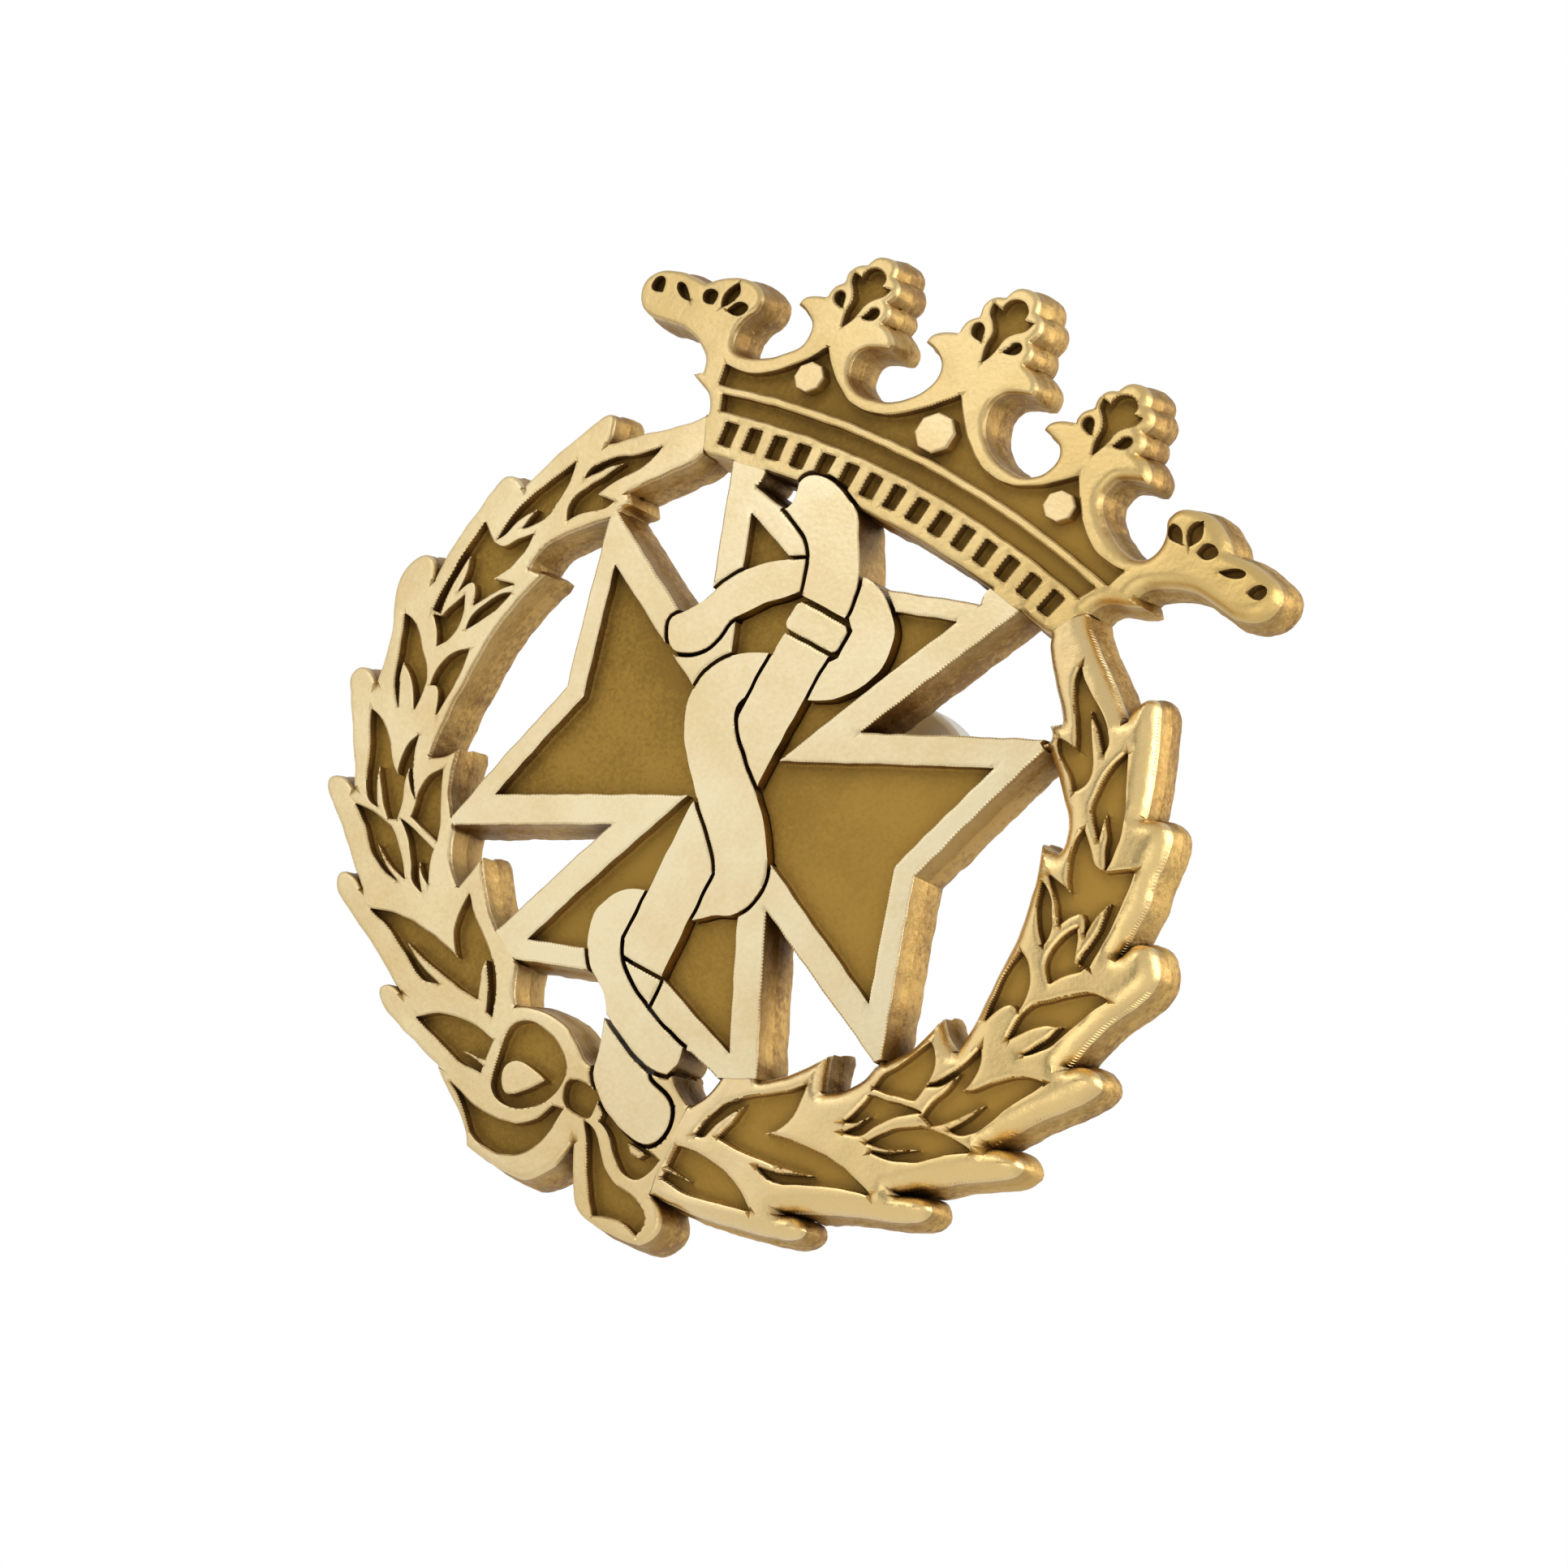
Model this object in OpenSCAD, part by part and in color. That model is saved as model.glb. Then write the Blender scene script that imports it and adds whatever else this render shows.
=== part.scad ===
// Cap badge: a domed, pierced front of coronet, laurel wreath, eight-pointed cross,
// staff, serpent and ribbon, with two posts and two butterfly clutches behind.
// The face looks along -Y, +Z is up the badge, and the posts point along +Y.
// Outlines are drawn in the X-Z plane. A point is [x, z], or [x, z, 1] at a sharp corner.

/* [Plate] */
// Radius of the domed face
dome_r = 110; // [90:1:200]
// Thickness of the plate, measured square to the dome
plate_t = 3.2; // [3:0.1:3.6]
// Depth of the sunk fields and leaf pits
field_d = 0.8; // [0.4:0.1:1]
// Depth of the pockets that the staff and the serpent lie in
pocket_d = 2; // [1.6:0.1:2.2]
// Depth of a half lap, where one piece crosses over another
lap_d = 1; // [0.8:0.1:1.2]

/* [Cross] */
// Distance from the centre to each point of the sunk field
cross_r = 13.7; // [13:0.1:14]
// Angle between an arm's centre line and its points
cross_half_angle = 28.475; // [27:0.1:30]
// Distance from the centre to the notch in an arm's end
cross_notch_r = 9.95; // [9.5:0.05:10.5]
// Distance from the centre to the inner corner between two arms
cross_crotch_r = 2.57; // [2.2:0.01:3]
// Width of the raised border along an arm's sides
cross_side_w = 1.54; // [1.2:0.02:1.8]
// Width of the raised border across an arm's end
cross_end_w = 1.1; // [0.9:0.05:1.3]

/* [Coronet] */
// Radius of the arcs of the circlet
circlet_r = 51; // [48:1:56]
// Height of the circlet's lower edge on the centre line
circlet_z = 14.7; // [14.5:0.1:14.8]
// Number of square jewels sunk in the circlet
jewels = 15; // [9:2:15]
// Distance between neighbouring jewels
jewel_pitch = 1.46; // [1.4:0.01:1.5]
// Radius of the middle pearl
pearl_mid_r = 1.08; // [0.9:0.01:1.1]
// Radius of the two side pearls
pearl_side_r = 0.83; // [0.7:0.01:0.9]
// Distance from the centre line to the side fleurons
fleuron_x = 7.9; // [7.8:0.05:8]

/* [Staff and serpent] */
// Width of the staff
staff_w = 2.76; // [2.6:0.02:2.8]
// Width of the grooves between the inlaid pieces
groove_w = 0.2; // [0.16:0.02:0.28]

/* [Posts and clutches] */
// Distance of each post from the centre line
post_x = 5.4; // [5.2:0.1:6.5]
// Height of the posts above the centre of the cross
post_z = 2.9; // [2.3:0.1:3]
// Radius of a post
post_r = 0.6; // [0.55:0.01:0.65]
// Radius of a post's free end, past its neck
post_end_r = 0.55; // [0.5:0.01:0.58]
// Y of a post's tip
post_tip_y = 12.8; // [12.6:0.1:14]
// Radius of a post's foot
foot_r = 1.7; // [1.4:0.1:1.8]
// Radial clearance between a post and its clutch
post_clear = 0.06; // [0.03:0.01:0.09]
// Outer radius of a clutch
clutch_r = 4.7; // [4.5:0.1:4.9]
// Sheet thickness of a clutch
clutch_t = 0.35; // [0.3:0.05:0.4]
// Y of the clutch's front face when it is pushed home
clutch_y = 4.9; // [4.6:0.1:5.2]
// Inner height of the clutch's cup
cup_h = 1.7; // [1.6:0.1:1.9]

/* [Hidden] */
steps = 3;
dome_fn = 400;
round_fn = 64;
past = 1;
deep = 12;
// Gap between an inlaid piece and the floor or walls of its pocket.
seat_gap = 0.03;
inlay_d = pocket_d - seat_gap;

// ---- curves -------------------------------------------------------------------------

function at(p, i) = p[(i + len(p)) % len(p)];
function xz(p) = [p[0], p[1]];
function unit(v) = v / norm(v);
function is_corner(p) = len(p) > 2;
// Direction of travel through a smooth point, from its two neighbours.
function heading(p, i) = unit(xz(at(p, i + 1)) - xz(at(p, i - 1)));
function tangent(p, i, chord) = heading(p, i) * norm(chord);
function hermite(a, b, ma, mb, t) =
  (2 * t * t * t - 3 * t * t + 1) * a + (t * t * t - 2 * t * t + t) * ma
  + (3 * t * t - 2 * t * t * t) * b + (t * t * t - t * t) * mb;
function span(p, i) =
  let (
    a = xz(at(p, i)),
    b = xz(at(p, i + 1)),
    d = b - a,
    ca = is_corner(at(p, i)),
    cb = is_corner(at(p, i + 1)),
    mb = cb ? 1.5 * d - 0.5 * tangent(p, i, d) : tangent(p, i + 1, d),
    ma = ca ? 1.5 * d - 0.5 * mb : tangent(p, i, d)
  )
  ca && cb ? [a] : [for (k = [0 : steps - 1]) hermite(a, b, ma, mb, k / steps)];
// Closed outline: smooth through every point but the corners.
function curve(p) = [for (i = [0 : len(p) - 1]) each span(p, i)];

function flip(p) = [for (q = p) is_corner(q) ? [-q[0], q[1], 1] : [-q[0], q[1]]];
function after_first(p) = [for (i = [1 : len(p) - 1]) p[i]];
function backwards(p) = [for (i = [len(p) - 1 : -1 : 0]) p[i]];
// Scaled copy of a list of points about its own origin, then moved to (x, z).
function placed(p, s, x, z) =
  [for (q = p) is_corner(q) ? [s * q[0] + x, s * q[1] + z, 1] : [s * q[0] + x, s * q[1] + z]];
function polar(r, a) = [r * cos(a), r * sin(a)];
// Crossing point of the line through a along u with the line through b along v.
function crossing(a, u, b, v) =
  a + u * ((b - a)[0] * v[1] - (b - a)[1] * v[0]) / (u[0] * v[1] - u[1] * v[0]);

// ---- solids that follow the dome ----------------------------------------------------

module dome_ball(depth) {
  translate([0, dome_r, 0]) sphere(dome_r - depth, $fn = dome_fn);
}

// The drawing, cut square to the X-Z plane, between two depths under the domed face.
module layer(from, to) {
  intersection() {
    translate([0, deep, 0]) rotate([90, 0, 0]) linear_extrude(2 * deep) children();
    difference() {
      dome_ball(from);
      dome_ball(to);
    }
  }
}

module shape(p) {
  polygon(curve(p));
}

module both_sides() {
  children();
  mirror([1, 0]) children();
}

// ---- cross --------------------------------------------------------------------------

field_tip = polar(cross_r, cross_half_angle);
field_notch = [cross_notch_r, 0];
field_crotch = polar(cross_crotch_r, 45);
side_dir = unit(field_tip - field_crotch);
end_dir = unit(field_tip - field_notch);
side_line = field_crotch + cross_side_w * [-side_dir[1], side_dir[0]];
end_line = field_notch + cross_end_w * [end_dir[1], -end_dir[0]];
rim_tip = crossing(side_line, side_dir, end_line, end_dir);
rim_notch = crossing(end_line, end_dir, [0, 0], [1, 0]);
rim_crotch = crossing(side_line, side_dir, [0, 0], polar(1, 45));

function turned(p, a) = [p[0] * cos(a) - p[1] * sin(a), p[0] * sin(a) + p[1] * cos(a)];
// Four arms of two points each, from one arm's notch, point and crotch. The outline also takes
// in webs: one right and one left of the upper arm's notch, and one right of the lower arm's.
function star(notch, tip, crotch, web = [], left_web = [], low_web = []) = [
  for (a = [0 : 90 : 270]) each concat(
    [turned([tip[0], -tip[1]], a)], a == 90 ? web : [],
    [turned(notch, a)], a == 90 ? left_web : [], a == 270 ? low_web : [],
    [turned(tip, a), turned(crotch, a)]
  )
];
// Fills the narrow end of the gap between an upper point and the circlet.
web_right = [[8.9, 14.5], [7.3, 14.5], [7.04, 14.1], [7, 13.8], [7.1, rim_notch[0] + 0.309 * 7.1]];
// The same on the left, and the strip between the upper arm and the serpent's head.
web_left = concat([[-4, 12.85], [-4.98, 12.98]], backwards(flip(web_right)));
// Joins the lower arm to the serpent's lower coil.
low_web = [
  [0.9, -rim_notch[0] - 0.309 * 0.9], [2.4, -12.9], [4.1, -13], [4.6, -12.95], [5.8, -13.2],
  [6.6, -13.45]
];

module cross_outline() {
  polygon(star(rim_notch, rim_tip, rim_crotch, web_right, web_left, low_web));
}
module cross_field() {
  polygon(star(field_notch, field_tip, field_crotch));
}

// ---- wreath -------------------------------------------------------------------------

wreath_edge = [
  [11.95, 15.35, 1], [12.4, 14.8], [13.5, 13.9], [14.8, 12.95], [15.8, 12.15], [16.35, 11.75, 1],
  [16.5, 12.5], [17, 13.15], [17.6, 12.7], [18.2, 11.4], [18.9, 9.8], [19.6, 7.8, 1],
  [20.3, 8.05], [20.95, 7.9], [21.3, 7.2], [21.5, 5.6], [21.8, 3.9], [21.85, 1.4, 1],
  [22.3, 2.25], [23.1, 2.4], [23.8, 1.6], [23.95, 0.6], [23.5, -0.6], [22.8, -1.9], [22.1, -4.6, 1],
  [22.7, -4.25], [23.5, -4.25], [23.9, -4.8], [23.6, -5.5], [22.6, -6.8], [21.5, -8.2], [20.4, -9.9, 1],
  [21.1, -9.65], [21.9, -9.75], [22.2, -10.2], [21.6, -10.9], [20.2, -11.8], [18.9, -12.8],
  [17.2, -14.1, 1],
  [18, -13.75], [18.7, -13.75], [19, -14.2], [18.5, -14.9], [17, -15.6], [15.2, -16.3], [12.3, -17.7, 1],
  [13, -17.55], [13.6, -17.95], [13.4, -18.5], [12.5, -18.95], [10.8, -19.4], [8.6, -19.9], [5.6, -20.2, 1],
  [5.6, -15.3, 1], [6.1, -14.6], [6.5, -13.4, 1], [8.1, -12.6, 1], [8.7, -12.3], [9.6, -11.5],
  [10.5, -10.5], [11.15, -9.6, 1], [11.35, -10.5], [11.7, -11.5, 1], [12.5, -10.9], [13.15, -10],
  [13.45, -9.1, 1],
  [14.1, -8.3, 1], [14.8, -7.3], [15.4, -5.4, 1], [16, -6.1], [16.8, -6.5, 1],
  [16.95, -5], [16.95, -2.5], [16.85, 0], [16.6, 1.6], [16.2, 3.1], [15.7, 4.4, 1], [16.7, 4.3, 1],
  [16.75, 5], [16.3, 6], [15.4, 7], [14.5, 7.9, 1], [13.5, 8.7, 1], [13.5, 9.2], [13.1, 9.6, 1],
  [13.65, 10.05, 1],
  [13.2, 10.6], [12.2, 11.7], [11.2, 12.9], [10.9, 13.6, 1]
];

// Sunk leaves, from the top of the branch down to the ribbon.
wreath_pits = [
  [[13.25, 12.9, 1], [13.45, 12], [14.2, 10.8], [14.85, 9.9], [15.2, 9.2, 1], [14.1, 9.3, 1], [14.5, 8.7],
   [15.4, 8.1], [16.05, 7.35, 1], [16.45, 8.2], [16.1, 9.2], [15.4, 10.2], [14.8, 11.25, 1], [15.6, 10.6],
   [16.45, 9.65, 1], [16.3, 10.4], [15.3, 11.4], [14.2, 12]],
  [[17.45, 10.2, 1], [17.2, 9.2], [17.2, 8], [17.4, 6.9], [18.35, 5.9, 1], [18.2, 6.5], [18.1, 7.1, 1],
   [18.75, 6.2], [19.05, 5.4], [19.4, 4.8, 1], [19.3, 6.2], [18.8, 7.7], [18.1, 9]],
  [[20.65, 5.3, 1], [19.5, 4.6, 1], [18.8, 4.65], [18.2, 5.3], [17.5, 5.95, 1], [17.5, 4.9], [17.85, 3.8],
   [18.4, 2.95, 1], [17.05, 3.2, 1], [17.8, 2.5], [18.7, 1.3, 1], [18.95, 1.9, 1], [19.5, 2.3],
   [20, 1.5, 1],
   [20.1, 2.6], [20.4, 3.4, 1], [20.6, 2], [20.4, 0.1, 1], [20.95, 0.1, 1], [21, 1.5], [20.9, 3.5]],
  [[19.55, 1.55, 1], [19.2, 0.9], [19, 0.1], [19.1, -0.8], [19.6, -1.4, 1], [20.1, -0.7], [20.75, -0.1, 1],
   [20.2, 0, 1], [19.95, 0.7]],
  [[16.95, 2.75, 1], [17.35, 1.6], [17.9, 0.7], [18.45, 0.05, 1], [18.45, 0.8], [18, 1.7], [17.5, 2.4]],
  [[22.5, -0.8, 1], [21.5, -1], [20.3, -2], [19.4, -2.8], [19.1, -3.6], [19.05, -4.8, 1], [19.7, -3.9],
   [20.4, -3.3], [21.1, -3, 1], [20.8, -3.9], [20.05, -5.1, 1], [20.9, -4.3], [21.4, -3.2], [21.9, -2]],
  [[17.65, -0.75, 1], [17.45, -2.2], [17.6, -4.5, 1], [17.95, -3.7], [18.4, -3.2], [18.85, -3.3, 1],
  [18.85, -2.6],
   [18.7, -1.8], [18.2, -1.1]],
  [[21.6, -5.85, 1], [20.6, -6.1], [19.4, -7], [18.7, -7.8], [18.15, -8.1, 1], [18.35, -7.3], [18.35, -6.5],
   [18.05, -5.8, 1], [17.75, -6.8], [17.2, -7.8], [16.5, -8.7, 1], [17.1, -8.3], [17.65, -7.5, 1],
   [17.5, -8.4],
   [17.1, -9.3], [16.95, -10.1, 1], [17.5, -10.3, 1], [18.1, -9.8], [18.8, -9], [19.45, -8.2, 1],
   [19.05, -9.2],
   [18.45, -10.05, 1], [19.2, -9.9], [19.9, -9.1], [20.4, -7.9], [21, -6.9]],
  [[15.7, -6.7, 1], [16.25, -7.4], [16.4, -8.3], [16.3, -9], [16.2, -9.6, 1], [15.3, -9.8],
  [14.05, -10.05, 1],
   [14.25, -9.3], [14.7, -8.6], [15.2, -7.7]],
  [[16.7, -10, 1], [15.8, -10.1], [14.9, -10.3], [14.05, -10.5, 1], [13.85, -11.3], [13.45, -12.2, 1],
   [14, -11.9], [14.5, -11.4, 1], [14.2, -12], [13.65, -12.7, 1], [14.4, -12.4], [14.9, -11.7],
   [15.5, -10.9],
   [16.1, -10.4]],
  [[19.85, -10.5, 1], [18.6, -10.4], [17.1, -10.6, 1], [16.3, -11.1], [15.5, -11.8], [14.9, -12.55, 1],
   [16, -12.3], [17.4, -11.7, 1], [16.4, -12.4], [15.3, -12.85, 1], [16.6, -12.65], [17.7, -12.1],
   [18.7, -11.2]],
  [[10.85, -11.55, 1], [10.2, -12.2], [9.2, -12.9], [8.2, -13.6], [7.4, -14.4], [6.9, -15.3],
  [6.6, -16.4, 1],
   [7, -16.3, 1], [7.4, -15.3], [8.3, -14, 1], [8.2, -14.8], [7.75, -15.95, 1], [9, -15.95], [11, -15.7],
   [13.1, -15.3, 1], [11.9, -15.9], [10.3, -16.3, 1], [11.4, -16.5], [12.8, -15.9], [14.4, -15.2],
   [16.15, -14.75, 1], [14.8, -14.35], [13.2, -14.2], [11.4, -14.35], [9.9, -14.65, 1], [10.5, -14],
   [10.85, -13.2], [10.9, -12.3]],
  [[10.8, -18.35, 1], [9.6, -17.6], [8.2, -17.25], [7, -17.2], [5.95, -17.35, 1], [5.9, -18.45, 1],
   [7.3, -18.6, 1], [5.9, -18.75, 1], [5.9, -19.1, 1], [7.4, -19.15], [9.2, -18.75]]
];

module wreath_drawing() {
  shape(wreath_edge);
}

// ---- coronet ------------------------------------------------------------------------

// Outer half of a fleuron, from its crest down to its neck, about the point of its field.
half_fleuron = [
  [0, 6.3], [0.7, 6.05], [1, 5.4, 1], [1.5, 5.15], [1.75, 4.55], [1.6, 3.95, 1], [2, 3.55], [2.1, 3.1],
  [2.05, 2.75, 1], [2.7, 2.55], [3.3, 2.1], [3.4, 1.6, 1], [2.7, 1.4], [2, 1.05], [1.7, 0.45]
];
side_scale = 0.89;
mid_cusp_z = 22.05;
side_cusp_z = 21;
side_half = placed(half_fleuron, side_scale, 0, side_cusp_z);
band_end = [10.9, 13.6, 1];
half_coronet = concat(
  placed(half_fleuron, 1, 0, mid_cusp_z),
  [[1.75, 21.8], [2.1, 21.1], [2.8, 20.4], [3.8, 19.95], [4.9, 19.8], [5.7, 20.05], [6.2, 20.6]],
  placed(backwards(flip(side_half)), 1, fleuron_x, 0),
  placed(after_first(side_half), 1, fleuron_x, 0),
  [[9.4, 20.7], [9.8, 20.1], [10.5, 19.5], [11.4, 19], [12.4, 18.8], [13, 19.1], [13.3, 19.8],
  [13.15, 20.6]],
  [[12.85, 21.3], [13.1, 22], [14, 22.4], [15, 22.3], [15.9, 21.8], [16.5, 21.25, 1], [17.4, 21.3]],
  [[18.4, 21.2], [19.3, 20.9], [19.85, 20.3], [19.8, 19.5], [19.3, 18.8], [18.4, 18.45], [17.3, 18.6]],
  [[16.2, 18.7], [15.1, 18.5], [14.3, 18.1], [13.8, 17.7], [13.6, 17.2, 1], [14.1, 16.85, 1],
  [13.3, 16.55]],
  [[12.6, 16.3], [12.15, 15.85], [11.95, 15.35, 1], band_end]
);
// Height of an arc of the circlet at x, for the arc that meets the centre line at z.
function arc_z(z, x) = z - circlet_r + sqrt(circlet_r * circlet_r - x * x);
function arc_points(z, x0, x1, n) = [for (i = [0 : n]) let (x = x0 + (x1 - x0) * i / n) [x, arc_z(z, x)]];

module coronet_outline() {
  difference() {
    polygon(curve(concat(half_coronet, backwards(flip(after_first(half_coronet))))));
    polygon(concat(arc_points(circlet_z, -10.6, 10.6, 24), [[10.6, 12], [-10.6, 12]]));
  }
}

rib_z = 18.5;
channel_top_z = 18.05;
channel_low_z = 17.1;
jewel_z = 16;
jewel_size = [0.76, 1.24];
half_scallops = [
  [0, mid_cusp_z, 1], [1, 20.95], [2, 20.05], [3.1, 19.4], [4.2, 19.15], [5.2, 19.25], [6.2, 19.75],
  [7.1, 20.4],
  [fleuron_x, 21.15, 1], [8.5, 20.3], [9.3, 19.35], [10.1, 18.65], [11, 18.2], [11.8, 18.05],
  [12.6, 18.05, 1]
];

module coronet_field() {
  both_sides() polygon(concat(
    curve(concat(half_scallops, [[12.3, arc_z(rib_z, 12.3), 1], [0, rib_z, 1]])),
    []
  ));
}
module field_floor_arc() {
  polygon(concat(arc_points(rib_z, -12.3, 12.3, 24), [[12.6, 16], [-12.6, 16]]));
}
module circlet_channel() {
  polygon(concat(arc_points(channel_top_z, -11.8, 11.8, 24), arc_points(channel_low_z, 11.3, -11.3, 24)));
}
module circlet_jewels() {
  for (i = [-(jewels - 1) / 2 : (jewels - 1) / 2]) {
    x = i * jewel_pitch;
    translate([x, arc_z(jewel_z, x)]) rotate(-asin(x / circlet_r)) square(jewel_size, center = true);
  }
}

half_leaf_pit = [
  [0, 1.95, 1], [0.3, 2.7], [0.38, 3.5], [0.7, 4], [1.1, 4.35], [1.25, 4.85, 1], [0.7, 4.75, 1], [0.6, 5.3]
];
leaf_crest = [0, 5.6];
side_pit = [[0.65, 2.85, 1], [1.3, 3], [1.5, 3.4], [1.25, 3.65], [0.9, 3.5, 1]];
module fleuron_pits(s, x, z) {
  translate([x, z]) scale([s, s]) {
    shape(concat(half_leaf_pit, [leaf_crest], backwards(flip(after_first(half_leaf_pit)))));
    both_sides() shape(side_pit);
  }
}
end_pits = [
  [[14.75, 20.55, 1], [15.05, 21.2], [14.65, 22.05, 1], [14.25, 21.4]],
  [[16.2, 20.95], [15.5, 21.1], [15.3, 20.5, 1], [15.9, 20.4]],
  [[14.4, 20.5, 1], [14, 21.1], [13.45, 21.2], [13.3, 20.9], [13.6, 20.5]],
  [[17.95, 20.6], [17.5, 20.7], [16.7, 20.1, 1], [17.4, 20.15]],
  [[19.3, 20.3], [19, 20.55], [18.7, 20.35], [18.5, 19.85, 1], [19.2, 19.8]]
];
module coronet_pits() {
  difference() {
    coronet_field();
    field_floor_arc();
  }
  circlet_channel();
  circlet_jewels();
  fleuron_pits(1, 0, mid_cusp_z);
  both_sides() fleuron_pits(0.95, fleuron_x, side_cusp_z - 0.45);
  for (p = end_pits) both_sides() shape(p);
}

// ---- ribbon bow ---------------------------------------------------------------------

bow_edge = [
  [-5.6, -15.3, 1], [-4.6, -14.9], [-3.4, -14.75], [-2.3, -14.9], [-1.4, -15.4], [-0.6, -15.9],
  [0.1, -15.9, 1],
  [2.9, -14.3, 1], [4.15, -14.3, 1], [4.5, -14.75], [5, -15.05], [5.6, -15.3, 1],
  [5.6, -20.2, 1], [6.3, -20.5], [6.75, -21.2], [6.65, -22], [6.1, -22.65, 1], [4.6, -22.9], [3, -22.9],
  [2.2, -22.7],
  [1.6, -22], [1.1, -21], [0.55, -19.85, 1], [0.35, -20.7], [-0.1, -21.6], [-0.8, -22.4], [-1.5, -22.8],
  [-3.3, -22.9], [-5.1, -22.75, 1], [-5.5, -22.1], [-6.3, -21.4], [-7.3, -20.8], [-8.6, -19.95, 1],
  [-5.6, -20.2, 1]
];
bow_pits = [
  [[-5.35, -16.5], [-4.7, -15.7], [-3.7, -15.55], [-2.4, -15.85], [-1.4, -16.7], [-1.3, -17.7],
  [-1.7, -18.6],
   [-2.5, -19.4], [-3.5, -19.85], [-4.5, -19.8], [-5.1, -19.2], [-5.25, -18]],
  [[-0.9, -17.1], [0.3, -16.95], [0.9, -17.3], [0.95, -17.9], [0.8, -18.35], [-0.5, -18.4], [-0.95, -17.9]],
  [[1.5, -17.45, 1], [3, -18, 1], [5.4, -18.4, 1], [5.1, -19.3], [4.5, -19.9], [3.7, -19.85], [2.9, -19.2],
   [2.2, -18.5], [1.5, -18.2, 1]],
  [[-7.35, -20.3, 1], [-6.2, -20.6], [-5, -20.75], [-3.8, -20.7], [-2.7, -20.4], [-1.9, -19.8],
  [-1.3, -18.7, 1],
   [-0.65, -18.6, 1], [-0.8, -19.5], [-1.2, -20.7], [-2, -21.7], [-3.2, -22.2], [-4.4, -22.25],
   [-5.2, -22, 1],
   [-6.2, -21]],
  [[0.7, -18.55, 1], [1.5, -18.75], [2.2, -19.5], [2.9, -20.2], [3.8, -20.6], [5, -20.75], [5.9, -21.3],
   [5.8, -22.3, 1], [4.6, -22.05], [3.15, -22.5, 1], [2.5, -21.6], [1.9, -20.6], [1.3, -19.4]]
];
loop_island = [[-2.2, -17.8, 1], [-3.1, -17.55], [-4.2, -17.65], [-4.75, -18.3], [-4.5, -19.1],
  [-4, -19.4], [-3, -18.7]];
tail_island = [[3.4, -18.4, 1], [4.6, -18.5, 1], [4.3, -18.9, 1], [3.75, -18.85, 1]];
module bow_pit_drawing() {
  difference() {
    for (p = bow_pits) shape(p);
    shape(loop_island);
    shape(tail_island);
  }
}

// ---- staff and serpent --------------------------------------------------------------

staff_top_z = 9.45;
staff_low_z = -12.3;
ferrule_z = -10.45;
collar_w = 3.3;
collar_low_z = 7.75;
collar_top_z = 9.3;
collar_corner = 0.4;

module staff_outline(grow) {
  translate([-staff_w / 2 - grow, staff_low_z]) square([staff_w + 2 * grow, staff_top_z - staff_low_z]);
}
module collar_outline(grow) {
  w = collar_w + 2 * grow;
  h = collar_top_z - collar_low_z + 2 * grow;
  r = collar_corner + grow;
  translate([-w / 2, collar_low_z - grow]) {
    translate([r, 0]) square([w - 2 * r, h]);
    translate([0, r]) square([w, h - 2 * r]);
    for (x = [r, w - r], z = [r, h - r]) translate([x, z]) circle(r, $fn = round_fn);
  }
}

// Outward unit normal of a clockwise outline at point i.
function outward(p, i) =
  let (
    before = unit(xz(at(p, i)) - xz(at(p, i - 1))),
    after = unit(xz(at(p, i + 1)) - xz(at(p, i))),
    both = before + after,
    mid = norm(both) < 0.2 ? before : unit(both),
    lean = max(0.5, mid * before)
  )
  [-mid[1], mid[0]] / lean;
// Copy of a clockwise curve, moved outward by g.
function grown(p, g) = let (c = curve(p)) [for (i = [0 : len(c) - 1]) c[i] + g * outward(c, i)];

head_edge = [
  [-1.6, 9.6, 1], [-1.85, 10.3], [-2.2, 11.2], [-2.8, 12], [-3.7, 12.5], [-4.95, 12.95, 1], [-4.8, 13.5],
  [-4.85, 13.95],
  [-5.05, 14.5], [-4.8, 15.05], [-4.1, 15.32], [-3.2, 15.25], [-2.2, 14.95],
  [-1.3, 14.45], [-0.5, 13.45], [0.2, 12.45], [0.75, 11.5], [1, 10.6], [1.1, 9.6, 1]
];
upper_coil_edge = [
  [-7.5, 5.6], [-6.9, 6.3], [-6.3, 7.2], [-5.9, 8.3], [-5, 9.5], [-3.7, 10.6], [-2.3, 11.35], [-0.8, 11.7],
  [0.8, 11.85], [2, 11.7], [3.1, 11], [3.9, 10.1], [4.25, 9], [4.2, 7.9], [3.7, 6.8], [2.8, 5.8],
  [1.58, 5.15, 1],
  [1.58, 7.3, 1], [1.9, 7.7, 1], [1.9, 9.2, 1], [1.3, 9.72, 1], [-1.85, 9.72, 1], [-2.4, 9.1], [-3.2, 8.4],
  [-3.9, 7.5], [-4.45, 6.8], [-4.55, 5.8], [-4.95, 4.95], [-5.7, 4.35], [-6.6, 4.15], [-7.3, 4.8]
];
middle_coil_edge = [
  [-1.58, 6.3, 1], [-1.6, 3.8, 1], [-1.75, 3.1], [-1.4, 2.35], [-0.6, 1.55], [0.4, 0.7], [1.3, 0],
  [2.3, -0.85],
  [3.2, -1.9], [3.9, -3], [4.2, -4.2], [3.95, -5.2], [3.3, -6.05], [2.4, -6.5], [1.58, -7.15, 1],
  [1.58, -4.6, 1],
  [1.2, -4.05], [0.2, -3.05], [-0.9, -2.1], [-2, -1], [-3.1, 0.1], [-3.9, 1.2], [-4.35, 2.4], [-4.35, 3.6],
  [-3.9, 4.7], [-3, 5.6]
];
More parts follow.
